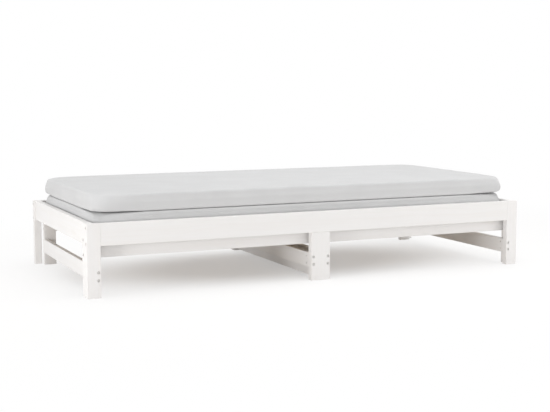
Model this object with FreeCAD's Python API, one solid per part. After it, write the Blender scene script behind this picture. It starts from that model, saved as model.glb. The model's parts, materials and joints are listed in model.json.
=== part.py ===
import FreeCAD, Part
import os
from collections import defaultdict
from math import cos, radians, sin

# A pull-out day bed of painted solid wood. A fixed frame stands at the back. A front frame on its own
# legs is nested in it and draws out to the front. The slats of the two frames mesh like two combs.
# Sizes are in millimetres. X runs along the bed, the front faces -Y, and the floor is z = 0.
# Depths are measured back from the front face of the bed.

# The whole bed
bed_length = 2070.0
bed_depth = 965.0
frame_height = 300.0
edge_round = 1.5
edge_bevel = 1.5

# Legs of the pull-out frame, and the depths of the fixed posts
leg_thick = 30.0
corner_leg_width = 56.0
middle_leg_width = 90.0
rear_leg_width = 56.0
rear_leg_thick = 24.0
rear_middle_lift = 12.0
front_post_depth = 42.0
back_post_depth = 30.0

# Rails at the top of the frame, and the beams that carry the slats
rail_height = 90.0
rail_thick = 30.0
end_rail_thick = 25.0
beam_height = 87.0
beam_thick = 22.0
slat_level_drop = 56.0

# Low boards: the stretchers of the pull-out frame and the guide board between the middle posts
stretcher_height = 65.0
stretcher_thick = 20.0
stretcher_drop = 37.0
guide_height = 65.0
guide_thick = 22.0
guide_lift = 10.0

# Slats and the ledges that they end on
slat_width = 56.0
slat_thick = 12.0
slat_least_gap = 17.0
slat_row_gap = 5.0
slat_end_gap = 1.0
ledge_height = 25.0
ledge_thick = 12.0
ledge_end_gap = 45.0

# Room for the pull-out frame to run
side_clearance = 3.0
middle_clearance = 5.5
beam_clearance = 3.0
rear_clearance = 1.0

# Bolts, barrel nuts and dowels, which repeat so often that they are prisms of few sides
head_sides = 8
shank_sides = 6
nut_sides = 6
bolt_dia = 6.0
bolt_room = 0.3
head_dia = 12.0
head_height = 4.0
head_sink = 2.0
head_room = 1.0
nut_dia = 10.0
nut_room = 0.2
nut_sink = 1.0
nut_floor = 5.0
nut_setback = 18.0
bolt_past_nut = 9.0
bolt_tip_room = 2.0
rail_bolt_edge = 13.0
rail_bolt_drop = 4.0
stretcher_bolt_edge = 16.5
dowel_dia = 6.0
dowel_room = 0.2
dowel_length = 40.0
leg_dowel_edge = 20.0
post_dowel_edge = 6.0

# Mattresses
mattress_thick = 80.0
mattress_gap = 3.0
mattress_band = 36.0
mattress_corner = 65.0
mattress_draw_in = 5.0
mattress_crown = 4.0
crown_inset = 90.0
edge_steps = 3

# Levels and places that follow from the sizes above
half_length = bed_length / 2
rail_bottom = frame_height - rail_height
slat_level = frame_height - slat_level_drop
slat_top = slat_level + slat_thick
beam_bottom = slat_level - beam_height
stretcher_top = beam_bottom - stretcher_drop
stretcher_lift = stretcher_top - stretcher_height
guide_top = guide_lift + guide_height
# The posts fill the width that a front leg covers beside the stretchers.
post_width = corner_leg_width - stretcher_thick - side_clearance
middle_post_half = middle_leg_width / 2 - stretcher_thick - middle_clearance
inner_half = half_length - post_width
front_post_back = leg_thick + front_post_depth
back_post_front = bed_depth - back_post_depth
back_rail_front = bed_depth - rail_thick
back_ledge_front = back_rail_front - ledge_thick
front_beam_front = rail_thick + ledge_thick + beam_clearance
front_beam_back = front_beam_front + beam_thick
rear_leg_back = back_ledge_front - rear_clearance
rear_leg_front = rear_leg_back - rear_leg_thick
rear_beam_front = rear_leg_front + (rear_leg_thick - beam_thick) / 2
rear_beam_back = rear_beam_front + beam_thick
stretcher_outer = inner_half - side_clearance
stretcher_inner = stretcher_outer - stretcher_thick
rear_leg_inner = stretcher_outer - rear_leg_width
front_leg_inner = half_length - corner_leg_width
middle_stretcher_outer = middle_leg_width / 2
middle_stretcher_inner = middle_stretcher_outer - stretcher_thick
travel = rear_leg_front - front_beam_back
mattress_edge = (mattress_thick - mattress_crown - mattress_band) / 2

SIDES = (("left", -1), ("right", 1))
UP = FreeCAD.Vector(0, 0, 1)
BACK = FreeCAD.Vector(0, 1, 0)
RIGHT = FreeCAD.Vector(1, 0, 0)

pieces = {}
cuts = defaultdict(list)
groups = defaultdict(list)


def at(x, depth, z):
    """A point x right of the middle, depth behind the front face and z above the floor."""
    return FreeCAD.Vector(x, depth - bed_depth / 2, z)


def make_board(name, xs, depths, zs, along, bevelled=False):
    """A board between two places on each axis. Long edges are rounded, or bevelled on inner boards."""
    low = at(min(xs), min(depths), min(zs))
    high = at(max(xs), max(depths), max(zs))
    size = high - low
    box = Part.makeBox(size.x, size.y, size.z, low)
    long_edges = [edge for edge in box.Edges if abs(edge.tangentAt(edge.FirstParameter).dot(along)) > 0.5]
    if bevelled:
        pieces[name] = box.makeChamfer(edge_bevel, long_edges)
    else:
        pieces[name] = box.makeFillet(edge_round, long_edges)


def rod(sides, radius, start, end):
    """A bar between two points, with a few flat sides."""
    way = end - start
    across = way.cross(RIGHT if abs(way.x) < way.Length / 2 else UP)
    across.normalize()
    upward = way.cross(across) / way.Length
    corners = []
    for step in range(sides + 1):
        angle = radians(360.0 / sides * (step % sides + 0.5))
        corners.append(start + (across * cos(angle) + upward * sin(angle)) * radius)
    return Part.Face(Part.makePolygon(corners)).extrude(way)


def bolt_together(leg, board, joint, into, through, nut_out, board_thick, bolts, nuts):
    """A bolt through a leg into the end of a board, and the barrel nut that holds it there."""
    outer = joint - into * through
    head_top = outer + into * head_sink
    seat = head_top + into * head_height
    nut_middle = joint + into * nut_setback
    tip = nut_middle + into * bolt_past_nut
    hole_radius = bolt_dia / 2 + bolt_room

    head = rod(head_sides, head_dia / 2, head_top, seat)
    groups[bolts].append(head.fuse(rod(shank_sides, bolt_dia / 2, seat, tip)))
    cuts[leg].append(rod(head_sides, head_dia / 2 + head_room, outer, seat))
    cuts[leg].append(rod(shank_sides, hole_radius, seat, joint))

    face = nut_middle + nut_out * (board_thick / 2)
    floor = face - nut_out * (board_thick - nut_floor)
    bolt_hole = rod(shank_sides, hole_radius, joint, tip + into * bolt_tip_room)
    cuts[board].append(bolt_hole)
    cuts[board].append(rod(nut_sides, nut_dia / 2 + nut_room, face, floor))
    nut = rod(nut_sides, nut_dia / 2, face - nut_out * nut_sink, floor)
    groups[nuts].append(nut.cut(bolt_hole))


def dowel_together(lower, upper, joint, dowels):
    """A dowel half in the top of one piece and half in the underside of the next."""
    foot = joint - UP * (dowel_length / 2)
    head = joint + UP * (dowel_length / 2)
    groups[dowels].append(rod(nut_sides, dowel_dia / 2, foot, head))
    hole_radius = dowel_dia / 2 + dowel_room
    cuts[lower].append(rod(nut_sides, hole_radius, foot, joint))
    cuts[upper].append(rod(nut_sides, hole_radius, joint, head))


def edge_levels(bottom, height, edge):
    """The two bolt levels of a board, set in from its lower and upper edges."""
    return bottom + edge, bottom + height - edge


rail_bolts = edge_levels(rail_bottom - rail_bolt_drop, rail_height, rail_bolt_edge)
beam_bolts = edge_levels(beam_bottom, beam_height, rail_bolt_edge)
stretcher_bolt_levels = edge_levels(stretcher_lift, stretcher_height, stretcher_bolt_edge)
guide_bolts = edge_levels(guide_lift, guide_height, stretcher_bolt_edge)
# The end rail's bolts pass between the bolts that cross its posts.
bolt_gap = rail_bolts[1] - beam_bolts[1]
end_rail_bolts = (beam_bolts[1] + bolt_gap / 3, beam_bolts[1] + bolt_gap * 2 / 3)


def fixed_corner(side, sign):
    """A front post and a back post, with the end rail bolted between them."""
    front_post = "front_post_" + side
    back_post = "back_post_" + side
    end_rail = "end_rail_" + side
    post_xs = (sign * half_length, sign * inner_half)
    make_board(front_post, post_xs, (leg_thick, front_post_back), (0, frame_height), UP)
    make_board(back_post, post_xs, (back_post_front, bed_depth), (0, frame_height), UP)
    rail_xs = (sign * (inner_half + end_rail_thick), sign * inner_half)
    rail_depths = (front_post_back, back_post_front)
    make_board(end_rail, rail_xs, rail_depths, (rail_bottom, frame_height), BACK)
    rail_middle = sign * (inner_half + end_rail_thick / 2)
    inward = RIGHT * -sign
    for level in end_rail_bolts:
        front_joint = at(rail_middle, front_post_back, level)
        bolt_together(front_post, end_rail, front_joint, BACK, front_post_depth, inward, end_rail_thick,
                      "post_face_bolts", "fixed_barrel_nuts")
        back_joint = at(rail_middle, back_post_front, level)
        bolt_together(back_post, end_rail, back_joint, -BACK, back_post_depth, inward, end_rail_thick,
                      "post_face_bolts", "fixed_barrel_nuts")
    for level in beam_bolts:
        joint = at(sign * inner_half, front_beam_front + beam_thick / 2, level)
        bolt_together(front_post, "front_beam", joint, inward, post_width, BACK, beam_thick,
                      "post_side_bolts", "fixed_barrel_nuts")
    for level in rail_bolts:
        joint = at(sign * inner_half, bed_depth - rail_thick / 2, level)
        bolt_together(back_post, "back_rail", joint, inward, post_width, -BACK, rail_thick,
                      "post_side_bolts", "fixed_barrel_nuts")


def fixed_middle():
    """The middle posts under the front beam and the back rail, tied by the low guide board."""
    post_xs = (-middle_post_half, middle_post_half)
    front_depths = (leg_thick, front_post_back)
    back_depths = (back_post_front, bed_depth)
    make_board("front_post_middle", post_xs, front_depths, (0, beam_bottom), UP, bevelled=True)
    make_board("back_post_middle", post_xs, back_depths, (0, rail_bottom), UP, bevelled=True)
    guide_xs = (-guide_thick / 2, guide_thick / 2)
    guide_zs = (guide_lift, guide_top)
    guide_depths = (front_post_back, back_post_front)
    make_board("guide_board", guide_xs, guide_depths, guide_zs, BACK, bevelled=True)
    for level in guide_bolts:
        front_joint = at(0, front_post_back, level)
        bolt_together("front_post_middle", "guide_board", front_joint, BACK, front_post_depth, RIGHT,
                      guide_thick, "post_face_bolts", "fixed_barrel_nuts")
        back_joint = at(0, back_post_front, level)
        bolt_together("back_post_middle", "guide_board", back_joint, -BACK, back_post_depth, RIGHT,
                      guide_thick, "post_face_bolts", "fixed_barrel_nuts")
    dowel_x = middle_post_half - post_dowel_edge
    for x in (-dowel_x, dowel_x):
        beam_joint = at(x, front_beam_front + beam_thick / 2, beam_bottom)
        dowel_together("front_post_middle", "front_beam", beam_joint, "fixed_dowels")
        rail_joint = at(x, bed_depth - rail_thick / 2, rail_bottom)
        dowel_together("back_post_middle", "back_rail", rail_joint, "fixed_dowels")


def fixed_frame():
    """The frame that stays where it stands."""
    across = (-inner_half, inner_half)
    make_board("back_rail", across, (back_rail_front, bed_depth), (rail_bottom, frame_height), RIGHT)
    beam_depths = (front_beam_front, front_beam_back)
    make_board("front_beam", across, beam_depths, (beam_bottom, slat_level), RIGHT, bevelled=True)
    ledge_xs = (-inner_half + ledge_end_gap, inner_half - ledge_end_gap)
    ledge_zs = (slat_level - ledge_height, slat_level)
    ledge_depths = (back_ledge_front, back_rail_front)
    make_board("back_slat_ledge", ledge_xs, ledge_depths, ledge_zs, RIGHT, bevelled=True)
    for side, sign in SIDES:
        fixed_corner(side, sign)
    fixed_middle()


def pull_out_corner(side, sign):
    """A front leg and a rear leg at one end of the pull-out frame, with their stretcher."""
    front_leg = "front_leg_" + side
    rear_leg = "rear_leg_" + side
    stretcher = "stretcher_" + side
    front_xs = (sign * half_length, sign * front_leg_inner)
    make_board(front_leg, front_xs, (0, leg_thick), (0, frame_height), UP)
    rear_xs = (sign * stretcher_outer, sign * rear_leg_inner)
    make_board(rear_leg, rear_xs, (rear_leg_front, rear_leg_back), (0, slat_level), UP, bevelled=True)
    stretcher_xs = (sign * stretcher_outer, sign * stretcher_inner)
    stretcher_zs = (stretcher_lift, stretcher_top)
    make_board(stretcher, stretcher_xs, (leg_thick, rear_leg_front), stretcher_zs, BACK, bevelled=True)
    inward = RIGHT * -sign
    bolt_stretcher(front_leg, rear_leg, stretcher, sign * (stretcher_outer - stretcher_thick / 2), inward)
    for level in rail_bolts:
        joint = at(sign * front_leg_inner, rail_thick / 2, level)
        bolt_together(front_leg, "front_rail", joint, inward, corner_leg_width, BACK, rail_thick,
                      "leg_side_bolts", "pull_out_barrel_nuts")
    for level in beam_bolts:
        joint = at(sign * rear_leg_inner, rear_beam_front + beam_thick / 2, level)
        bolt_together(rear_leg, "rear_beam", joint, inward, rear_leg_width, -BACK, beam_thick,
                      "leg_side_bolts", "pull_out_barrel_nuts")


def bolt_stretcher(front_leg, rear_leg, stretcher, x, nut_out):
    """The two bolts at each end of a stretcher."""
    for level in stretcher_bolt_levels:
        bolt_together(front_leg, stretcher, at(x, leg_thick, level), BACK, leg_thick, nut_out,
                      stretcher_thick, "stretcher_bolts", "pull_out_barrel_nuts")
        bolt_together(rear_leg, stretcher, at(x, rear_leg_front, level), -BACK, rear_leg_thick, nut_out,
                      stretcher_thick, "stretcher_bolts", "pull_out_barrel_nuts")


def pull_out_middle():
    """The wide middle leg and the two stretchers that straddle the fixed middle post.

    The rear middle legs stop just above the floor, so that the frame stands on its corners.
    """
    leg_xs = (-middle_leg_width / 2, middle_leg_width / 2)
    make_board("front_leg_middle", leg_xs, (0, leg_thick), (0, rail_bottom), UP)
    for side, sign in SIDES:
        stretcher = "stretcher_middle_" + side
        rear_leg = "rear_leg_middle_" + side
        stretcher_xs = (sign * middle_stretcher_outer, sign * middle_stretcher_inner)
        stretcher_zs = (stretcher_lift, stretcher_top)
        make_board(stretcher, stretcher_xs, (leg_thick, rear_leg_front), stretcher_zs, BACK, bevelled=True)
        rear_depths = (rear_leg_front, rear_leg_back)
        make_board(rear_leg, stretcher_xs, rear_depths, (rear_middle_lift, beam_bottom), UP, bevelled=True)
        x = sign * (middle_stretcher_outer - stretcher_thick / 2)
        bolt_stretcher("front_leg_middle", rear_leg, stretcher, x, RIGHT * sign)
        leg_joint = at(sign * (middle_leg_width / 2 - leg_dowel_edge), leg_thick / 2, rail_bottom)
        dowel_together("front_leg_middle", "front_rail", leg_joint, "pull_out_dowels")
        rear_joint = at(x, rear_beam_front + beam_thick / 2, beam_bottom)
        dowel_together(rear_leg, "rear_beam", rear_joint, "pull_out_dowels")


def pull_out_frame():
    """The frame that draws out to the front."""
    rail_xs = (-front_leg_inner, front_leg_inner)
    make_board("front_rail", rail_xs, (0, rail_thick), (rail_bottom, frame_height), RIGHT)
    beam_xs = (-rear_leg_inner, rear_leg_inner)
    beam_depths = (rear_beam_front, rear_beam_back)
    make_board("rear_beam", beam_xs, beam_depths, (beam_bottom, slat_level), RIGHT, bevelled=True)
    ledge_xs = (-front_leg_inner + ledge_end_gap, front_leg_inner - ledge_end_gap)
    ledge_zs = (slat_level - ledge_height, slat_level)
    ledge_depths = (rail_thick, rail_thick + ledge_thick)
    make_board("front_slat_ledge", ledge_xs, ledge_depths, ledge_zs, RIGHT, bevelled=True)
    for side, sign in SIDES:
        pull_out_corner(side, sign)
    pull_out_middle()


def slats():
    """One row of slats at one level: every other slat belongs to the pull-out frame."""
    row_half = inner_half - slat_row_gap
    pairs = int((row_half * 2 / (slat_width + slat_least_gap) - 1) / 2)
    count = pairs * 2 + 1
    pitch = row_half * 2 / count
    fixed_depths = (front_beam_front + slat_end_gap, back_rail_front - slat_end_gap)
    moving_depths = (rail_thick + slat_end_gap, rear_leg_back - slat_end_gap)
    for number in range(count):
        moving = number % 2 == 1
        group = "pull_out_slats" if moving else "fixed_slats"
        middle = -row_half + pitch * (number + 0.5)
        xs = (middle - slat_width / 2, middle + slat_width / 2)
        depths = moving_depths if moving else fixed_depths
        make_board("slat", xs, depths, (slat_level, slat_top), BACK, bevelled=True)
        groups[group].append(pieces.pop("slat"))
    print("slats", count, "pitch %.1f" % pitch)


def mattress_outline(half_x, half_y, middle_y, corner, z):
    """A closed outline with round corners, whose sides are drawn in between them."""
    turn = corner * (1 - cos(radians(45)))
    draw = mattress_draw_in
    edges = []
    for sx, sy in ((1, 1), (-1, 1), (-1, -1), (1, -1)):
        on_x = FreeCAD.Vector(sx * half_x, middle_y + sy * (half_y - corner), z)
        on_y = FreeCAD.Vector(sx * (half_x - corner), middle_y + sy * half_y, z)
        knee = FreeCAD.Vector(sx * (half_x - turn), middle_y + sy * (half_y - turn), z)
        far_y = FreeCAD.Vector(-sx * (half_x - corner), middle_y + sy * half_y, z)
        far_x = FreeCAD.Vector(sx * half_x, middle_y - sy * (half_y - corner), z)
        if sx == sy:
            long_middle = FreeCAD.Vector(0, middle_y + sy * (half_y - draw), z)
            edges.append(Part.Arc(on_x, knee, on_y).toShape())
            edges.append(Part.Arc(on_y, long_middle, far_y).toShape())
        else:
            end_middle = FreeCAD.Vector(sx * (half_x - draw), middle_y, z)
            edges.append(Part.Arc(on_y, knee, on_x).toShape())
            edges.append(Part.Arc(on_x, end_middle, far_x).toShape())
    return Part.Wire(edges)


def mattress(name, bottom):
    """A foam mattress: rounded edges above and below, and a top that is slightly crowned."""
    half_x = inner_half - mattress_gap
    front = max(rail_thick, leg_thick) + mattress_gap
    half_y = (back_rail_front - mattress_gap - front) / 2
    middle_y = at(0, front + half_y, 0).y
    levels = []
    for step in range(1, edge_steps + 1):
        angle = radians(90.0 / edge_steps * step)
        levels.append((mattress_edge * (1 - sin(angle)), mattress_edge * (1 - cos(angle))))
    below = [(mattress_edge, 0.0)] + levels
    shoulder = mattress_thick - mattress_crown
    above = [(inset, shoulder - lift) for inset, lift in reversed(below)]
    crown = [(mattress_edge + crown_inset, mattress_thick)]
    outlines = []
    crown_reach = crown[0][0]
    for inset, lift in below + above + crown:
        corner = mattress_corner * (1 - inset / crown_reach / 2)
        outlines.append(mattress_outline(half_x - inset, half_y - inset, middle_y, corner, bottom + lift))
    pieces[name] = Part.makeLoft(outlines, True, True)


def mattresses():
    """The lower mattress lies on the slats, and the upper one on the lower one."""
    mattress("lower_mattress", slat_top)
    mattress("upper_mattress", slat_top + mattress_thick)


def write_all():
    """Drill the boards, gather the groups and write one file for each piece."""
    os.makedirs("parts", exist_ok=True)
    for name, shape in pieces.items():
        if cuts[name]:
            shape = shape.cut(cuts[name])
        shape.Solids[0].exportStep("parts/" + name + ".step")
    for name, shapes in groups.items():
        Part.makeCompound([shape.Solids[0] for shape in shapes]).exportStep("parts/" + name + ".step")
    print("files", len(pieces) + len(groups), "travel of the pull-out frame %.1f" % travel)


fixed_frame()
pull_out_frame()
slats()
mattresses()
write_all()
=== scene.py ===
# %% [markdown]
# # Dressing a pull-out day bed
# The bed is two frames of painted boards, one nested in the other, with two thin foam mattresses on top.
# The construction is already made and packed: every board, slat, bolt and nut is in place, at its real size.
# This lesson gives each of them its finish, turns the plain fasteners into real ones, and sews the covers.

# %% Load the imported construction
import json
from math import cos, pi, radians, sin, tau

import bmesh
import bpy
from mathutils import Matrix, Vector, noise


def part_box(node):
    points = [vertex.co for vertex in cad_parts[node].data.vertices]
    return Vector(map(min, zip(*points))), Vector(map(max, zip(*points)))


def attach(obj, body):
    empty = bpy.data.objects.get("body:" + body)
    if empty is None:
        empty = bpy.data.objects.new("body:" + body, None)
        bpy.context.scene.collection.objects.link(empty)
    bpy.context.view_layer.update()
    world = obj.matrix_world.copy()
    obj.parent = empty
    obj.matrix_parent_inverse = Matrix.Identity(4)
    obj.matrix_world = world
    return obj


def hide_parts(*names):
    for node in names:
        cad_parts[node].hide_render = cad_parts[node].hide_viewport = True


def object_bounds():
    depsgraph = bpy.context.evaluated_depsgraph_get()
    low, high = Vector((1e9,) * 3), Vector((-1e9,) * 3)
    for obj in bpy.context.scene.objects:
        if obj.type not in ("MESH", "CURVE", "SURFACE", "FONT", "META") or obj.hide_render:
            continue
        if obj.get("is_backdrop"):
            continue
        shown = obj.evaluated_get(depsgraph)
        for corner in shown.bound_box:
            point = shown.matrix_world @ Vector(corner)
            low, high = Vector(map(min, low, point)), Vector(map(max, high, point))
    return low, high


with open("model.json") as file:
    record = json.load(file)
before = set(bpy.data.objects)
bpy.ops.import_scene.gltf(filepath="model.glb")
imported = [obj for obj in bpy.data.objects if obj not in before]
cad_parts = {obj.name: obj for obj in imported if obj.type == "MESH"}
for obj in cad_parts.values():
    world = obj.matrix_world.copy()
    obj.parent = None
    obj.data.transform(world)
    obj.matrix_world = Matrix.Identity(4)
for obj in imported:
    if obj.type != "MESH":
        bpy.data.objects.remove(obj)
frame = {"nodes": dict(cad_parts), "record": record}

nodes = frame["nodes"]
box_of = {name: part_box(name) for name in nodes}
scene = bpy.context.scene
cad_low, cad_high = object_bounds()
print("nodes", len(nodes), "box", [round(v, 3) for v in (*cad_low, *cad_high)])

# %% [markdown]
# ## The camera
# A picture of furniture is usually taken from standing distance with a fairly long lens, so that the edges
# hardly converge. The place, turn and tilt were found by fitting the bed's known corners to the picture.
# The focal length is kept in pixels, because that is what such a fit gives, and turned into millimetres here.
# Lengths are in metres and angles in radians, as Blender keeps them.

# %% Camera
picture_width = 550
focal_pixels = 1112.1
camera_place = Vector((-2.168, -4.7365, 0.869))
camera_turn = radians(24.62)
camera_tilt = 0.1138

camera_data = bpy.data.cameras.new("Camera")
camera_data.lens = camera_data.sensor_width * focal_pixels / picture_width
camera = bpy.data.objects.new("Camera", camera_data)
camera.location = camera_place
camera.rotation_euler = (pi / 2 - camera_tilt, 0, -camera_turn)
scene.collection.objects.link(camera)
scene.camera = camera
print("lens %.1f mm" % camera_data.lens)

# %% [markdown]
# ## Helpers for nodes
# Shader trees get long when every node takes five lines. One helper adds a node, sets its options and fills
# its inputs: an input gets a plain value, or the output of another node, which the helper then links. The
# others stand on it: one for each sum that comes up often, and two for what nearly every finish has, a
# roughness that varies and a shallow relief.

# %% Node helpers
def put(tree, kind, inputs=None, **options):
    """Add a node. Each input takes a value, or the output of another node."""
    node = tree.nodes.new(kind)
    for name, value in options.items():
        setattr(node, name, value)
    for name, value in (inputs or {}).items():
        if isinstance(value, bpy.types.NodeSocket):
            tree.links.new(value, node.inputs[name])
        else:
            node.inputs[name].default_value = value
    return node


def blend(tree, amount, first, second):
    """A colour between two others."""
    return put(tree, "ShaderNodeMix", {0: amount, 6: first, 7: second}, data_type="RGBA").outputs[2]


def calc(tree, operation, first, second=0.0):
    """One sum on two values."""
    return put(tree, "ShaderNodeMath", {0: first, 1: second}, operation=operation).outputs[0]


def vector_calc(tree, operation, first, second):
    """One sum on two vectors."""
    return put(tree, "ShaderNodeVectorMath", {0: first, 1: second}, operation=operation).outputs[0]


def stretch(tree, value, low, high, to_low=0.0, to_high=1.0, kind="SMOOTHSTEP"):
    """Stretch the part of a value between low and high over a new range."""
    inputs = {"Value": value, "From Min": low, "From Max": high, "To Min": to_low, "To Max": to_high}
    return put(tree, "ShaderNodeMapRange", inputs, interpolation_type=kind).outputs[0]


print("node helpers ready")

# %% Material helpers
def object_place(tree):
    """Where a point lies on its object, so that a pattern moves with the piece."""
    return put(tree, "ShaderNodeTexCoord").outputs["Object"]


def new_material(name):
    """A material with its Principled shader, ready to be filled."""
    material = bpy.data.materials.new(name)
    material.use_nodes = True
    return material, material.node_tree, material.node_tree.nodes["Principled BSDF"]


def roughen(tree, shader, mask, low, high):
    """Let a mask move the roughness between two values."""
    tree.links.new(stretch(tree, mask, 0.0, 1.0, low, high), shader.inputs["Roughness"])


def raise_relief(tree, shader, height, strength, distance):
    """Let light catch on heights that are too shallow to model."""
    bump = put(tree, "ShaderNodeBump", {"Height": height, "Strength": strength, "Distance": distance})
    tree.links.new(bump.outputs[0], shader.inputs["Normal"])


print("material helpers ready")

# %% [markdown]
# ## The studio
# The bed stands on a pale floor that runs into a white background. A real studio lights the backdrop until it
# burns out. Here the floor fades to plain white further out, but only for the camera and for reflections, so
# that no extra light falls on the bed. Near the bed it keeps its shadow, but even there it glows partly white
# for the camera, which is painted light that lifts the shadow under the bed. The fade is an oval: it is
# measured in half lengths and half depths of the bed.

# %% Light path share
def seen_directly(tree):
    """One for what the camera or a reflection sees, and nought for light that bounces about."""
    path = put(tree, "ShaderNodeLightPath").outputs
    mirrored = calc(tree, "ADD", path["Is Glossy Ray"], path["Is Transmission Ray"])
    return put(tree, "ShaderNodeMath", {0: path["Is Camera Ray"], 1: mirrored},
               operation="ADD", use_clamp=True).outputs[0]


print("light path share ready")

# %% World
white = (1.0, 1.0, 1.0, 1.0)
dome_strength = 0.66

world = bpy.data.worlds.new("Studio")
world.use_nodes = True
scene.world = world
dome = world.node_tree
soft_light = dome.nodes["Background"]
soft_light.inputs["Color"].default_value = white
soft_light.inputs["Strength"].default_value = dome_strength
backdrop = put(dome, "ShaderNodeBackground", {"Color": white, "Strength": 1.0})
mixed = put(dome, "ShaderNodeMixShader",
            {0: seen_directly(dome), 1: soft_light.outputs[0], 2: backdrop.outputs[0]})
dome.links.new(mixed.outputs[0], dome.nodes["World Output"].inputs["Surface"])
print("dome strength", dome_strength)

# %% Floor
floor_reach = 40.0
floor_colour = (0.92, 0.905, 0.895, 1.0)
floor_roughness = 0.9

floor_mesh = bpy.data.meshes.new("studio_floor")
floor_corners = [(-floor_reach, -floor_reach, 0), (floor_reach, -floor_reach, 0),
                 (floor_reach, floor_reach, 0), (-floor_reach, floor_reach, 0)]
floor_mesh.from_pydata(floor_corners, [], [(0, 1, 2, 3)])
floor = bpy.data.objects.new("studio_floor", floor_mesh)
scene.collection.objects.link(floor)
floor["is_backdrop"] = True

floor_finish, tree, shader = new_material("studio floor")
shader.inputs["Base Color"].default_value = floor_colour
shader.inputs["Roughness"].default_value = floor_roughness
floor.data.materials.append(floor_finish)
print("floor reaches", floor_reach, "m")

# %% Floor fade
floor_near = 0.45
floor_far = 1.2
floor_end = 4.5
# Even next to the bed the floor glows this share of white for the camera: painted light that lifts the shadow
# under the bed.
shadow_lifting_glow = 0.36
floor_ring = 0.76

per_half_bed = (1 / cad_high.x, 1 / cad_high.y, 0.0)
in_beds = vector_calc(tree, "MULTIPLY", object_place(tree), per_half_bed)
away = put(tree, "ShaderNodeVectorMath", {0: in_beds}, operation="LENGTH").outputs["Value"]
ring = stretch(tree, away, floor_near, floor_far, shadow_lifting_glow, floor_ring)
whiter = calc(tree, "ADD", ring, stretch(tree, away, floor_far, floor_end, 0.0, 1 - floor_ring))
share = calc(tree, "MULTIPLY", whiter, seen_directly(tree))
glow = put(tree, "ShaderNodeEmission", {"Color": white, "Strength": 1.0})
mixed = put(tree, "ShaderNodeMixShader", {0: share, 1: shader.outputs[0], 2: glow.outputs[0]})
tree.links.new(mixed.outputs[0], tree.nodes["Material Output"].inputs["Surface"])
print("floor is white beyond", floor_end, "half beds")

# %% [markdown]
# ## The lamps
# Three soft boxes do the rest. The main one stands to the right of the camera, since the right end of the bed
# is a little brighter than the left. The second one stands low on the left, where it lights the end of the
# bed and reaches the boards underneath. The largest hangs overhead and gives the top of the mattress its even
# tone.

# %% Lamps
def soft_box(name, place, size, power):
    """A square lamp that faces the middle of the bed."""
    lamp = bpy.data.lights.new(name, "AREA")
    lamp.size = size
    lamp.energy = power
    holder = bpy.data.objects.new(name, lamp)
    holder.location = place
    middle = (cad_low + cad_high) / 2
    holder.rotation_euler = (middle - holder.location).to_track_quat("-Z", "Y").to_euler()
    scene.collection.objects.link(holder)
    print(name, "at", place, "power", power)


soft_box("main soft box", place=(3.0, -2.6, 0.9), size=1.6, power=17.0)
soft_box("low soft box", place=(-4.2, -1.65, 0.3), size=0.7, power=52.0)
soft_box("top soft box", place=(0.3, -0.4, 4.0), size=4.0, power=92.0)
scene.view_settings.view_transform = "Standard"

# %% [markdown]
# ## Grain under paint
# The boards are solid softwood under a thin white paint. Paint hides the colour of the wood but not all of
# its figure: long lines along the board and a few knots still shimmer through. A picture of wood could be
# used, but a pattern worked out from the place on the board needs no picture, never repeats and follows the
# board when it moves. Noise that is stretched along the board gives the lines, and cells that are stretched
# the same way give the knots.

# %% Group maker
def new_group(name, inputs, outputs):
    """A shader node group with named sockets."""
    tree = bpy.data.node_groups.new(name, "ShaderNodeTree")
    for label, kind, value in inputs:
        socket = tree.interface.new_socket(label, in_out="INPUT", socket_type=kind)
        if value is not None:
            socket.default_value = value
    for label in outputs:
        tree.interface.new_socket(label, in_out="OUTPUT", socket_type="NodeSocketFloat")
    came_in = tree.nodes.new("NodeGroupInput").outputs
    goes_out = tree.nodes.new("NodeGroupOutput").inputs
    print("group", name, "gives", outputs)
    return tree, came_in, goes_out


def use_group(tree, group, inputs):
    """Place a group in a tree and give back its outputs."""
    return put(tree, "ShaderNodeGroup", inputs, node_tree=group).outputs


print("group maker ready")

# %% Grain group
bend_size = 2.5
bend_reach = (0.0, 0.03, 0.03)
line_stretch = (1.4, 55.0, 55.0)
line_range = (0.36, 0.68)
knot_stretch = (2.6, 11.0, 11.0)
knot_range = (0.16, 0.05)

board_grain, inside, out = new_group(
    "Board grain",
    [("Along", "NodeSocketVector", None), ("Fineness", "NodeSocketFloat", 1.0)],
    ["Lines", "Knots"])
waver = put(board_grain, "ShaderNodeTexNoise", {"Vector": inside["Along"], "Scale": bend_size, "Detail": 1.0})
swing = vector_calc(board_grain, "MULTIPLY", waver.outputs["Color"], bend_reach)
bent = vector_calc(board_grain, "ADD", inside["Along"], swing)
drawn_out = vector_calc(board_grain, "MULTIPLY", bent, line_stretch)
lines = put(board_grain, "ShaderNodeTexNoise",
            {"Vector": drawn_out, "Scale": inside["Fineness"], "Detail": 5.0, "Roughness": 0.62})
board_grain.links.new(stretch(board_grain, lines.outputs["Fac"], *line_range), out["Lines"])
cells = vector_calc(board_grain, "MULTIPLY", bent, knot_stretch)
knots = put(board_grain, "ShaderNodeTexVoronoi", {"Vector": cells, "Scale": 1.0})
board_grain.links.new(stretch(board_grain, knots.outputs["Distance"], *knot_range), out["Knots"])

# %% [markdown]
# ## Worn edges
# Paint is thinnest where it runs off an edge, and edges are what knees and vacuum cleaners rub. The Bevel
# node tells where a surface turns: it rounds the normal near an edge, so the difference between that and the
# true normal is a mask. Some noise breaks the mask up, because wear is never even.

# %% Wear group
edge_turn = (0.99, 0.80)
patch_size = 38.0
patch_range = (0.38, 0.66)

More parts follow.
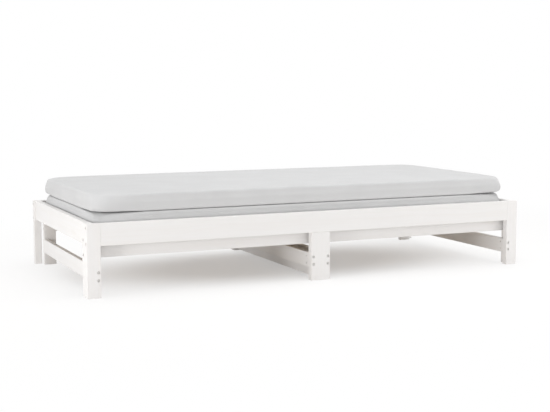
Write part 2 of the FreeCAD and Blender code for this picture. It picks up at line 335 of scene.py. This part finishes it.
edge_wear, inside, out = new_group(
    "Edge wear",
    [("Place", "NodeSocketVector", None), ("Reach", "NodeSocketFloat", 0.003)],
    ["Mask"])
rounded = put(edge_wear, "ShaderNodeBevel", {"Radius": inside["Reach"]}, samples=4)
true = put(edge_wear, "ShaderNodeNewGeometry")
alike = put(edge_wear, "ShaderNodeVectorMath", {0: rounded.outputs[0], 1: true.outputs["Normal"]},
            operation="DOT_PRODUCT")
patches = put(edge_wear, "ShaderNodeTexNoise",
              {"Vector": inside["Place"], "Scale": patch_size, "Detail": 4.0})
at_edge = stretch(edge_wear, alike.outputs["Value"], *edge_turn)
in_patch = stretch(edge_wear, patches.outputs["Fac"], *patch_range)
edge_wear.links.new(calc(edge_wear, "MULTIPLY", at_edge, in_patch), out["Mask"])

# %% [markdown]
# ## Uneven surfaces
# No finish is even. Paint has thick and thin places, metal has handling marks, and cloth has slubs and dust.
# One small group gives soft clouds at a chosen size, with specks that are much finer, and each material uses
# them in its own way.

# %% Mottle group
cloud_range = (0.3, 0.7)
speck_fineness = 45.0

mottle, inside, out = new_group(
    "Mottle",
    [("Place", "NodeSocketVector", None), ("Size", "NodeSocketFloat", 12.0)],
    ["Clouds", "Specks"])
clouds = put(mottle, "ShaderNodeTexNoise",
             {"Vector": inside["Place"], "Scale": inside["Size"], "Detail": 3.0})
mottle.links.new(stretch(mottle, clouds.outputs["Fac"], *cloud_range), out["Clouds"])
fine_size = calc(mottle, "MULTIPLY", inside["Size"], speck_fineness)
specks = put(mottle, "ShaderNodeTexNoise", {"Vector": inside["Place"], "Scale": fine_size, "Detail": 2.0})
mottle.links.new(stretch(mottle, specks.outputs["Fac"], *cloud_range), out["Specks"])

# %% [markdown]
# ## White paint on softwood
# The grain of a board runs along its length, so the same paint is made three times, once for each direction
# that a board can lie in. The colour stays close to a slightly warm white. Grain, knots and worn edges only
# tint it. The grain also gives a very shallow relief, so that light catches what the eye sees, and the clouds
# vary the gloss. The grain lines are darker where that relief sinks, which is partly the figure under the
# paint and partly painted shade in the sunken lines.

# %% Painted boards
AXES = "XYZ"
paint_white = (0.832, 0.82, 0.81, 1.0)
grain_and_shade_tone = (0.80, 0.775, 0.75, 1.0)
knot_tone = (0.72, 0.63, 0.54, 1.0)
thin_paint = (0.80, 0.735, 0.655, 1.0)
grain_share = 0.4
knot_share = 0.12
wear_share = 0.35


def along_board(tree, axis):
    """The place on a board, turned so that X runs along it."""
    parts = put(tree, "ShaderNodeSeparateXYZ", {0: object_place(tree)}).outputs
    in_order = {step: parts[AXES[(axis + step) % 3]] for step in range(3)}
    return put(tree, "ShaderNodeCombineXYZ", in_order).outputs[0]


def painted_board(name, axis):
    """White paint over the grain of a board that lies along one axis."""
    material, tree, shader = new_material(name)
    along = along_board(tree, axis)
    grain = use_group(tree, board_grain, {"Along": along, "Fineness": 1.0})
    worn = use_group(tree, edge_wear, {"Place": along, "Reach": 0.003})
    uneven = use_group(tree, mottle, {"Place": along, "Size": 9.0})
    # The grain lines tint the paint darker where the relief sinks: partly the figure under the paint, partly
    # painted shade in the sunken lines.
    colour = blend(tree, calc(tree, "MULTIPLY", grain["Lines"], grain_share), paint_white, grain_and_shade_tone)
    colour = blend(tree, calc(tree, "MULTIPLY", grain["Knots"], knot_share), colour, knot_tone)
    colour = blend(tree, calc(tree, "MULTIPLY", worn["Mask"], wear_share), colour, thin_paint)
    tree.links.new(colour, shader.inputs["Base Color"])
    roughen(tree, shader, uneven["Clouds"], low=0.40, high=0.54)
    sunken = calc(tree, "MULTIPLY", grain["Lines"], -1.0)
    height = calc(tree, "ADD", sunken, uneven["Specks"])
    raise_relief(tree, shader, height, strength=0.22, distance=0.0004)
    return material


painted = [painted_board("painted board " + AXES[axis], axis) for axis in range(3)]
print([material.name for material in painted])

# %% Paint the boards
def dress(name, material):
    """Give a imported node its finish."""
    for slot in nodes[name].material_slots:
        slot.material = material


def longest_axis(low, high):
    """The axis that a piece is longest on."""
    size = high - low
    return max(range(3), key=lambda axis: size[axis])


boards = [row["node"] for row in frame["record"]["subparts"] if row["material_slot"] == "painted_wood"]
for name in boards:
    dress(name, painted[longest_axis(*box_of[name])])
print("painted boards", len(boards))

# %% [markdown]
# ## Slats and dowels
# The slats lie under the mattress and stay bare pine, which throws a little warm light on the boards below.
# The dowels sit inside the joints and are bare beech, which is denser and browner, with short fine flecks.

# %% Slats
pine_light = (0.85, 0.71, 0.54, 1.0)
pine_dark = (0.75, 0.57, 0.39, 1.0)
pine_knot = (0.48, 0.30, 0.17, 1.0)

pine, tree, shader = new_material("bare pine")
along = along_board(tree, AXES.index("Y"))
figure = use_group(tree, board_grain, {"Along": along, "Fineness": 0.8})
colour = blend(tree, figure["Lines"], pine_light, pine_dark)
colour = blend(tree, figure["Knots"], colour, pine_knot)
tree.links.new(colour, shader.inputs["Base Color"])
roughen(tree, shader, figure["Lines"], low=0.6, high=0.72)
raise_relief(tree, shader, figure["Lines"], strength=0.3, distance=0.0004)
for name in ("fixed_slats", "pull_out_slats"):
    dress(name, pine)
print("slats in", pine.name)

# %% Dowels
beech_light = (0.74, 0.56, 0.38, 1.0)
beech_dark = (0.55, 0.37, 0.22, 1.0)
beech_roughness = 0.7

beech, tree, shader = new_material("bare beech")
along = along_board(tree, AXES.index("Z"))
fleck = use_group(tree, board_grain, {"Along": along, "Fineness": 6.0})
tree.links.new(blend(tree, fleck["Lines"], beech_light, beech_dark), shader.inputs["Base Color"])
shader.inputs["Roughness"].default_value = beech_roughness
for name in ("fixed_dowels", "pull_out_dowels"):
    dress(name, beech)
print("dowels in", beech.name)

# %% [markdown]
# ## Zinc on steel
# Bolts and barrel nuts are zinc plated. Zinc is a dull grey mirror: full metal, medium gloss, with cloudy
# patches from the bath and fine marks from the spanner.

# %% Zinc
zinc_light = (0.76, 0.75, 0.73, 1.0)
zinc_dark = (0.55, 0.54, 0.52, 1.0)

zinc, tree, shader = new_material("zinc plated steel")
marks = use_group(tree, mottle, {"Place": object_place(tree), "Size": 140.0})
tree.links.new(blend(tree, marks["Clouds"], zinc_light, zinc_dark), shader.inputs["Base Color"])
roughen(tree, shader, marks["Clouds"], low=0.32, high=0.5)
shader.inputs["Metallic"].default_value = 1.0
raise_relief(tree, shader, marks["Specks"], strength=0.15, distance=0.0002)
print(zinc.name)

# %% [markdown]
# ## Turned fasteners
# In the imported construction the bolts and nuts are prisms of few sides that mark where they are. Their real
# form is turned on a lathe, so it is built as a stack of rings. A ring is round, or it follows the outline of
# a hexagon, a slot or a cross, which gives the sockets that a key or a screwdriver fits in. Everything is
# placed from the prisms.

# %% Ring outlines
nearly_nought = 1e-6


def round_bar(angle):
    """The reach of a circle, which is the same all round."""
    return 1.0


def hexagon(angle):
    """The reach of a six-sided outline, with its corners on the circle."""
    return cos(pi / 6) / cos(angle % (pi / 3) - pi / 6)


def long_slot(angle, width=0.2):
    """The reach of a straight slot, whose half width is a share of its half length."""
    to_end = 1 / max(abs(cos(angle)), nearly_nought)
    to_side = width / max(abs(sin(angle)), nearly_nought)
    return min(to_end, to_side)


def cross(angle, width=0.24):
    """The reach of two slots that cross."""
    return max(long_slot(angle, width), long_slot(angle + pi / 2, width))


print("outlines", [outline.__name__ for outline in (round_bar, hexagon, long_slot, cross)])

# %% Rings into solids
turn_steps = 24


def ring_loop(mesh, place, height, radius, outline, start):
    """Points round an axis, from an angle that is given as a share of one step."""
    loop = []
    for step in range(turn_steps):
        angle = tau * (step + start) / turn_steps
        reach = radius * outline(angle)
        loop.append(mesh.verts.new(place @ Vector((reach * cos(angle), reach * sin(angle), height))))
    return loop


def skin(mesh, loops):
    """Faces from each loop of points to the next."""
    for lower, upper in zip(loops, loops[1:]):
        for step in range(turn_steps):
            after = (step + 1) % turn_steps
            mesh.faces.new((lower[step], lower[after], upper[after], upper[step]))


def turned(mesh, place, rings):
    """Skin rings, given as height, radius and outline, into one closed solid."""
    loops = [ring_loop(mesh, place, *ring, start=0.5) for ring in rings]
    skin(mesh, loops)
    mesh.faces.new(reversed(loops[0]))
    mesh.faces.new(loops[-1])


print("rings of", turn_steps, "steps")

# %% Find the prisms
weld_distance = 1e-6


def solids_of(node):
    """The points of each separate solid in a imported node, from left to right."""
    mesh = bmesh.new()
    mesh.from_mesh(nodes[node].data)
    bmesh.ops.remove_doubles(mesh, verts=mesh.verts, dist=weld_distance)
    waiting = {vert: None for vert in mesh.verts}
    found = []
    while waiting:
        stack = [waiting.popitem()[0]]
        points = []
        while stack:
            vert = stack.pop()
            points.append(vert.co.copy())
            for edge in vert.link_edges:
                other = edge.other_vert(vert)
                if other in waiting:
                    del waiting[other]
                    stack.append(other)
        found.append(points)
    mesh.free()
    return sorted(found, key=lambda points: tuple(min(points, key=tuple)))


print("bolts", sum(len(solids_of(node)) for node in nodes if node.endswith("bolts")))

# %% Measure the prisms
def corners_of(points):
    """The lowest and highest corner round some points."""
    return Vector(map(min, zip(*points))), Vector(map(max, zip(*points)))


def half_width(points, axis):
    """The radius of the round bar that fits inside a prism's end."""
    low, high = corners_of(points)
    return min(high[other] - low[other] for other in range(3) if other != axis) / 2


def facing(place, axis, sign):
    """A frame at a place, with its Z pointing one way along an axis."""
    out_way = Vector((0, 0, 0))
    out_way[axis] = sign
    return Matrix.Translation(place) @ out_way.to_track_quat("Z", "Y").to_matrix().to_4x4()


def board_at(point):
    """The box of the board that holds a point."""
    for name in boards:
        low, high = box_of[name]
        if all(low[axis] <= point[axis] <= high[axis] for axis in range(3)):
            return low, high
    raise ValueError("no board at %s" % point)


def face_above(at_end, axis, sign):
    """How far the board's face lies above a fastener's end."""
    place = at_end.translation
    low, high = board_at(place)
    return abs((high if sign > 0 else low)[axis] - place[axis])


print("boards to look in", len(boards))

# %% New pieces
def finish_piece(name, mesh, body, slot, *materials):
    """Turn a mesh under construction into a piece that rides on a body."""
    bmesh.ops.recalc_face_normals(mesh, faces=mesh.faces)
    data = bpy.data.meshes.new(name)
    mesh.to_mesh(data)
    mesh.free()
    for material in materials:
        data.materials.append(material)
    piece = bpy.data.objects.new(name, data)
    scene.collection.objects.link(piece)
    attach(piece, body)
    print(name, "faces", len(data.polygons), "on", body)
    return piece


bodies = frame["record"]["behaviour"]["bodies"]
body_of = {node: body for body, members in bodies.items() for node in members}

# %% [markdown]
# ## Bolts
# Each bolt has a low round head with a softened rim and a six-sided socket, sunk in a round recess. The
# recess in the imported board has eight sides, so a thin collar of paint lines it and makes its mouth round.

# %% Recess collars
collar_wall = 0.0007
collar_depth = 0.0015
collar_proud = 0.0001
collar_soft = 0.0002


def collar(mesh, at_end, depth, inner):
    """A painted ring that rounds the mouth of a recess, some depth above the fastener's end."""
    outer = inner + collar_wall
    foot = depth - collar_depth
    top = depth + collar_proud
    rings = [(foot, inner), (top - collar_soft, inner), (top, inner + collar_soft),
             (top, outer), (foot, outer)]
    loops = [ring_loop(mesh, at_end, *ring, round_bar, start=0.0) for ring in rings]
    skin(mesh, loops + loops[:1])


def set_fasteners(ending, make, inner, new_ending, recess_ending, paint_finish):
    """Replace the prisms of one kind, and line the recesses that they sit in."""
    for node in sorted(name for name in nodes if name.endswith(ending)):
        steel, paint = bmesh.new(), bmesh.new()
        for points in solids_of(node):
            at_end, axis, sign = make(steel, points)
            collar(paint, at_end, face_above(at_end, axis, sign), inner)
        body = body_of[node]
        made = finish_piece(node.replace(ending, new_ending), steel, body, "fastener_steel", zinc)
        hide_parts(node)
        finish_piece(node.replace(ending, recess_ending), paint, body, "painted_wood", paint_finish)


print("collars %.1f mm deep" % (collar_depth * 1000))

# %% Bolts and their recesses
socket_radius = 0.0026
socket_depth = 0.0026
rim_soft = 0.0007
rim_bend = rim_soft * 0.3
recess_inner = 0.0063
level_room = 1e-5


def bolt(mesh, points):
    """A socket-head bolt in place of its prism. Gives the frame of its head, and how it faces."""
    low, high = corners_of(points)
    axis = longest_axis(low, high)
    ends = []
    for sign, level in ((-1, low[axis]), (1, high[axis])):
        end = [point for point in points if abs(point[axis] - level) < level_room]
        ends.append((half_width(end, axis), sign, level))
    (shank, _, tip), (head, sign, top) = sorted(ends)
    step_levels = sorted({round(abs(point[axis] - top), 5) for point in points})
    head_height = step_levels[1]
    place = (low + high) / 2
    place[axis] = top
    at_head = facing(place, axis, sign)
    length = abs(top - tip)
    turned(mesh, at_head, [
        (-length, shank - rim_soft, round_bar), (-length + rim_soft, shank, round_bar),
        (-head_height, shank, round_bar), (-head_height, head, round_bar),
        (-rim_soft, head, round_bar), (-rim_bend, head - rim_bend, round_bar),
        (0, head - rim_soft, round_bar), (0, socket_radius, hexagon),
        (-socket_depth, socket_radius, hexagon)])
    return at_head, axis, sign


set_fasteners("_bolts", bolt, recess_inner, "_socket_bolts", "_bolt_recesses", painted[AXES.index("Z")])

# %% [markdown]
# ## Barrel nuts
# A bolt into the end grain of a board would pull out, so it screws into a barrel nut: a short round bar that
# lies across it in the board. One end of the bar shows, just below the surface, with a slot to turn it until
# its thread lines up with the bolt.

# %% Barrel nuts
slot_depth = 0.0014
slot_share = 0.8
nut_hole_inner = 0.0044


def barrel_nut(mesh, points):
    """A slotted barrel nut in place of its prism. Gives the frame of the end that shows, and how it faces."""
    low, high = corners_of(points)
    axis = longest_axis(low, high)
    radius = half_width(points, axis)
    place = (low + high) / 2
    board_low, board_high = board_at(place)
    sign = 1 if place[axis] > (board_low[axis] + board_high[axis]) / 2 else -1
    length = high[axis] - low[axis]
    place[axis] = high[axis] if sign > 0 else low[axis]
    at_end = facing(place, axis, sign)
    turned(mesh, at_end, [
        (-length, radius - rim_soft, round_bar), (-length + rim_soft, radius, round_bar),
        (-rim_soft, radius, round_bar), (0, radius - rim_soft, round_bar),
        (0, radius * slot_share, long_slot), (-slot_depth, radius * slot_share, long_slot)])
    return at_end, axis, sign


set_fasteners("_barrel_nuts", barrel_nut, nut_hole_inner, "_slotted_nuts", "_nut_recesses",
              painted[AXES.index("X")])

# %% [markdown]
# ## Slat and ledge screws
# Every slat is screwed down at both ends, onto the beam and the ledge that carry it. The ledges are screwed
# to the rails from inside. They are small countersunk screws with a cross, so only a thin disc of each shows.

# %% Slat screws
screw_radius = 0.0036
screw_tip = screw_radius * 0.4
screw_proud = 0.0003
screw_depth = 0.003
cross_mouth = screw_radius * 0.62
cross_floor = screw_radius * 0.45
cross_depth = screw_depth * 0.4


def screw(mesh, place, axis, sign):
    """A countersunk head with a cross, its rim just proud of the wood."""
    turned(mesh, facing(place, axis, sign), [
        (-screw_depth, screw_tip, round_bar), (0, screw_radius, round_bar),
        (screw_proud, screw_radius - screw_proud, round_bar), (screw_proud, cross_mouth, cross),
        (-cross_depth, cross_floor, cross)])


def middle_of(node):
    """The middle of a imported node's box."""
    low, high = box_of[node]
    return (low + high) / 2


supports = {"fixed_slats": ("front_beam", "back_slat_ledge"),
            "pull_out_slats": ("front_slat_ledge", "rear_beam")}
for node, carriers in supports.items():
    steel = bmesh.new()
    for points in solids_of(node):
        low, high = corners_of(points)
        for carrier in carriers:
            place = Vector(((low.x + high.x) / 2, middle_of(carrier).y, high.z))
            screw(steel, place, AXES.index("Z"), 1)
    finish_piece(node.replace("_slats", "_slat_screws"), steel, body_of[node], "fastener_steel", zinc)

# %% Ledge screws
ledge_screw_pitch = 0.31

for node, sign in (("front_slat_ledge", 1), ("back_slat_ledge", -1)):
    low, high = box_of[node]
    steel = bmesh.new()
    count = int((high.x - low.x) / ledge_screw_pitch)
    face = high.y if sign > 0 else low.y
    for number in range(count):
        x = low.x + (high.x - low.x) * (number + 0.5) / count
        screw(steel, Vector((x, face, (low.z + high.z) / 2)), AXES.index("Y"), sign)
    finish_piece(node.replace("_ledge", "_ledge_screws"), steel, body_of[node], "fastener_steel", zinc)

# %% [markdown]
# ## The cover cloth
# Both mattresses wear a light grey knitted cover. Its threads are about a millimetre apart, far too fine to
# model, so two sets of diagonal waves make a relief. The cover's colour is made a little darker where that
# relief is low, which is painted shade in the valleys of the weave. Diagonals work on the top, the sides and
# the ends alike, so the weave needs no unwrapping. A little sheen stands for the fuzz of the yarn.

# %% Weave group
threads_per_metre = 700.0
weft_slope = -2.0

weave, inside, out = new_group(
    "Weave",
    [("Place", "NodeSocketVector", None), ("Threads per metre", "NodeSocketFloat", threads_per_metre)],
    ["Height"])
parts = put(weave, "ShaderNodeSeparateXYZ", {0: inside["Place"]}).outputs
rising = calc(weave, "ADD", calc(weave, "ADD", parts["X"], parts["Y"]), parts["Z"])
sloping = calc(weave, "MULTIPLY", parts["Z"], weft_slope)
falling = calc(weave, "ADD", calc(weave, "SUBTRACT", parts["X"], parts["Y"]), sloping)
full_turns = calc(weave, "MULTIPLY", inside["Threads per metre"], tau)
warp = calc(weave, "SINE", calc(weave, "MULTIPLY", rising, full_turns))
weft = calc(weave, "SINE", calc(weave, "MULTIPLY", falling, full_turns))
crossing = calc(weave, "MULTIPLY", warp, weft)
weave.links.new(stretch(weave, crossing, -1.0, 1.0, kind="LINEAR"), out["Height"])

# %% Cover material
cover_light = (0.655, 0.656, 0.658, 1.0)
cover_dark = (0.61, 0.611, 0.613, 1.0)
weave_shade_share = 0.5
cloud_share = 0.5
fuzz_share = 0.6
cover_sheen = 0.15
cover_specular = 0.25

cover, tree, shader = new_material("grey knitted cover")
place = object_place(tree)
threads = use_group(tree, weave, {"Place": place, "Threads per metre": threads_per_metre})
slubs = use_group(tree, mottle, {"Place": place, "Size": 7.0})
# The cover is darker where the weave's relief is low: painted shade in the valleys between the threads.
weave_valley_shade = calc(tree, "MULTIPLY", threads["Height"], weave_shade_share)
cloud_tone = calc(tree, "MULTIPLY", slubs["Clouds"], cloud_share)
# The shade below is the painted shade of the weave plus the real cloudy tone of the slubs.
shade = calc(tree, "ADD", weave_valley_shade, cloud_tone)
tree.links.new(blend(tree, shade, cover_dark, cover_light), shader.inputs["Base Color"])
roughen(tree, shader, slubs["Specks"], low=0.78, high=0.92)
shader.inputs["Sheen Weight"].default_value = cover_sheen
shader.inputs["Specular IOR Level"].default_value = cover_specular
yarn = calc(tree, "ADD", threads["Height"], calc(tree, "MULTIPLY", slubs["Specks"], fuzz_share))
raise_relief(tree, shader, yarn, strength=0.35, distance=0.0006)
print(cover.name)

# %% [markdown]
# ## Mattresses
# A foam mattress looks like a slab with soft edges until one looks at its cover: the cloth is sewn a little
# smaller than the foam, so it is tight in the middle of each face and loose at the corners. The quickest
# honest way to that is to start a little too small, let a cloth simulation blow the cover up against springs
# that stand for the foam, and keep what comes out. The underside stays flat, because it lies on something.
# Where one mattress lies on the other, the weight presses both round edges nearly square, and only a thin
# dark line is left between them. The free edge on top stays rounder, and the sewn corners draw it in.
# Distances from the edge start at the outline, which the cover draws in a little between the corners.

# %% Cover shell
voxel = 0.015
cover_room = 0.001
lie_room = 0.0005
foam_wave = 0.0012
wave_scale = 4.0
wave_rise = 3.0


def bake_modifiers(piece):
    """Keep what the modifiers give as the mesh itself."""
    depsgraph = bpy.context.evaluated_depsgraph_get()
    data = bpy.data.meshes.new_from_object(piece.evaluated_get(depsgraph))
    piece.modifiers.clear()
    old = piece.data
    piece.data = data
    bpy.data.meshes.remove(old)


def cover_start(name, node, seed):
    """A slightly shrunken even mesh of a mattress, with the faint waves that foam has."""
    mesh = bmesh.new()
    mesh.from_mesh(nodes[node].data)
    bmesh.ops.remove_doubles(mesh, verts=mesh.verts, dist=weld_distance)
    low, high = box_of[node]
    middle, half = (low + high) / 2, (high - low) / 2
    for vert in mesh.verts:
        for axis in range(3):
            vert.co[axis] = middle[axis] + (vert.co[axis] - middle[axis]) * (1 - cover_room / half[axis])
    data = bpy.data.meshes.new(name)
    mesh.to_mesh(data)
    mesh.free()
    shell = bpy.data.objects.new(name, data)
    scene.collection.objects.link(shell)
    even = shell.modifiers.new("even mesh", "REMESH")
    even.mode = "VOXEL"
    even.voxel_size = voxel
    bake_modifiers(shell)
    outward = [vert.normal.copy() for vert in shell.data.vertices]
    for vert, way in zip(shell.data.vertices, outward):
        vert.co.z -= cover_room - lie_room
        rise = max(0.0, min(1.0, (vert.co.z - low.z) / (high.z - low.z) * wave_rise))
        wave = noise.noise(vert.co * wave_scale + Vector((0, 0, seed))) * foam_wave
        vert.co += way * wave * rise
    print(name, "starts with", len(shell.data.vertices), "points")
    return shell


# %% Blow up the cover
cloth_frames = 20
cloth_pressure = 4.0
foam_hold = 0.3
most_move = 0.006


def blow_up(shell, low, high, pressed):
    """Let the cover swell against the foam, then keep the result, with no point moved too far."""
    start = [vert.co.copy() for vert in shell.data.vertices]
    held = shell.vertex_groups.new(name="held")
    for vert in shell.data.vertices:
        lying = vert.co.z < low.z + voxel / 2 or (pressed and vert.co.z > high.z - voxel / 2)
        held.add([vert.index], 1.0 if lying else foam_hold, "REPLACE")
    cloth = shell.modifiers.new("cover", "CLOTH")
    cloth.settings.use_pressure = True
    cloth.settings.uniform_pressure_force = cloth_pressure
    cloth.settings.effector_weights.gravity = 0.0
    cloth.settings.vertex_group_mass = held.name
    cloth.point_cache.frame_end = cloth_frames
    for number in range(1, cloth_frames + 1):
        scene.frame_set(number)
    bake_modifiers(shell)
    scene.frame_set(1)
    farthest = 0.0
    for vert, was in zip(shell.data.vertices, start):
        move = vert.co - was
        farthest = max(farthest, move.length)
        if move.length > most_move:
            vert.co = was + move * (most_move / move.length)
    print(shell.name, "moved up to %.1f mm" % (farthest * 1000))


# %% Squarer edges
side_draw = 0.005
edge_zone = 0.020
full_reach = 0.96
reach_gain = 4.0


def squared(inset, drop, power):
    """How far out and up to move a point of a round edge, given by its distances from both faces."""
    across, along = 1 - inset / edge_zone, 1 - drop / edge_zone
    reach = (across ** 2 + along ** 2) ** 0.5
    reach += (full_reach - reach) * min(1.0, reach_gain * across * along)
    squarer = (across ** power + along ** power) ** (1 / power)
    grow = reach / squarer - 1
    return grow * across * edge_zone, grow * along * edge_zone


def insets_of(point, low, high):
    """How far a point lies inside the ends and the long sides, which are drawn in towards their middles."""
    middle, half = (low + high) / 2, (high - low) / 2
    off = [abs(point[axis] - middle[axis]) for axis in range(2)]
    reach = [half[axis] - side_draw * (1 - (off[1 - axis] / half[1 - axis]) ** 2) for axis in range(2)]
    return [reach[axis] - off[axis] for axis in range(2)]


print("edges are shaped over %.0f mm" % (edge_zone * 1000))

# %% Press the cover
pressed_power = 7.0
free_power = 3.0
crown_drop = 0.004
crown_zone = 0.090
corner_zone = 0.22
corner_pull = 0.026
corner_start = 0.3


def press(point, low, high, pressed):
    """Square the edges, level a top that carries a mattress, and draw in the corners."""
    middle = (low + high) / 2
    insets = insets_of(point, low, high)
    side = min(range(2), key=lambda axis: insets[axis])
    inset = max(0.0, insets[side])
    outward = 1 if point[side] > middle[side] else -1
    corner = max(0.0, 1 - (insets[0] ** 2 + insets[1] ** 2) ** 0.5 / corner_zone)
    upper_half = point.z > middle.z
    if pressed and upper_half:
        point.z += crown_drop * max(0.0, min(1.0, 1 - (inset - edge_zone) / crown_zone))
    free = upper_half and not pressed
    drop = max(0.0, high.z - (crown_drop if free else 0.0) - point.z if upper_half else point.z - low.z)
    if inset < edge_zone and drop < edge_zone:
        out_by, up_by = squared(inset, drop, free_power if free else pressed_power)
        point[side] += outward * out_by * (1 - corner)
        point.z += (up_by if upper_half else -up_by) * (1 - corner)
    height = (point.z - low.z) / (high.z - low.z)
    draw = corner_pull * corner ** 2 * max(0.0, height - corner_start)
    for axis in range(2):
        point[axis] -= draw * (1 if point[axis] > middle[axis] else -1)


print("corners are drawn in by up to %.0f mm" % (corner_pull * (1 - corner_start) * 1000))

# %% Two mattresses
seam_cuts = 2


def refine_edge(shell, low, high, pressed):
    """Divide the mesh along the one edge that meets the other mattress, which is pressed almost sharp."""
    level = high.z - crown_drop if pressed else low.z
    mesh = bmesh.new()
    mesh.from_mesh(shell.data)
    edges = set()
    for face in mesh.faces:
        middle = face.calc_center_median()
        if min(insets_of(middle, low, high)) < edge_zone and abs(middle.z - level) < edge_zone:
            edges.update(face.edges)
    in_order = sorted(edges, key=lambda edge: edge.index)
    bmesh.ops.subdivide_edges(mesh, edges=in_order, cuts=seam_cuts, use_grid_fill=True)
    mesh.to_mesh(shell.data)
    mesh.free()


def mattress(name, node, body, seed, pressed):
    """A mattress in its cover. A pressed one carries another."""
    shell = cover_start(name, node, seed)
    low, high = box_of[node]
    blow_up(shell, low, high, pressed)
    smooth = shell.modifiers.new("smooth cover", "SUBSURF")
    smooth.levels = 1
    smooth.render_levels = 1
    bake_modifiers(shell)
    refine_edge(shell, low, high, pressed)
    for vert in shell.data.vertices:
        point = vert.co.copy()
        press(point, low, high, pressed)
        vert.co = point
    for face in shell.data.polygons:
        face.use_smooth = True
    shell.data.materials.clear()
    shell.data.materials.append(cover)
    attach(shell, body)
    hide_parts(node)
    print(name, "faces", len(shell.data.polygons))


mattress("lower_mattress_cover", "lower_mattress", "fixed_frame", seed=1.0, pressed=True)
mattress("upper_mattress_cover", "upper_mattress", "upper_mattress", seed=5.0, pressed=False)

# %% [markdown]
# ## Measure and close
# The dressed bed must not outgrow its construction, so both boxes are written down side by side.

# %% Sizes
low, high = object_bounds()
print("construction", [round(v, 4) for v in (*cad_low, *cad_high)])
print("dressed", [round(v, 4) for v in (*low, *high)])
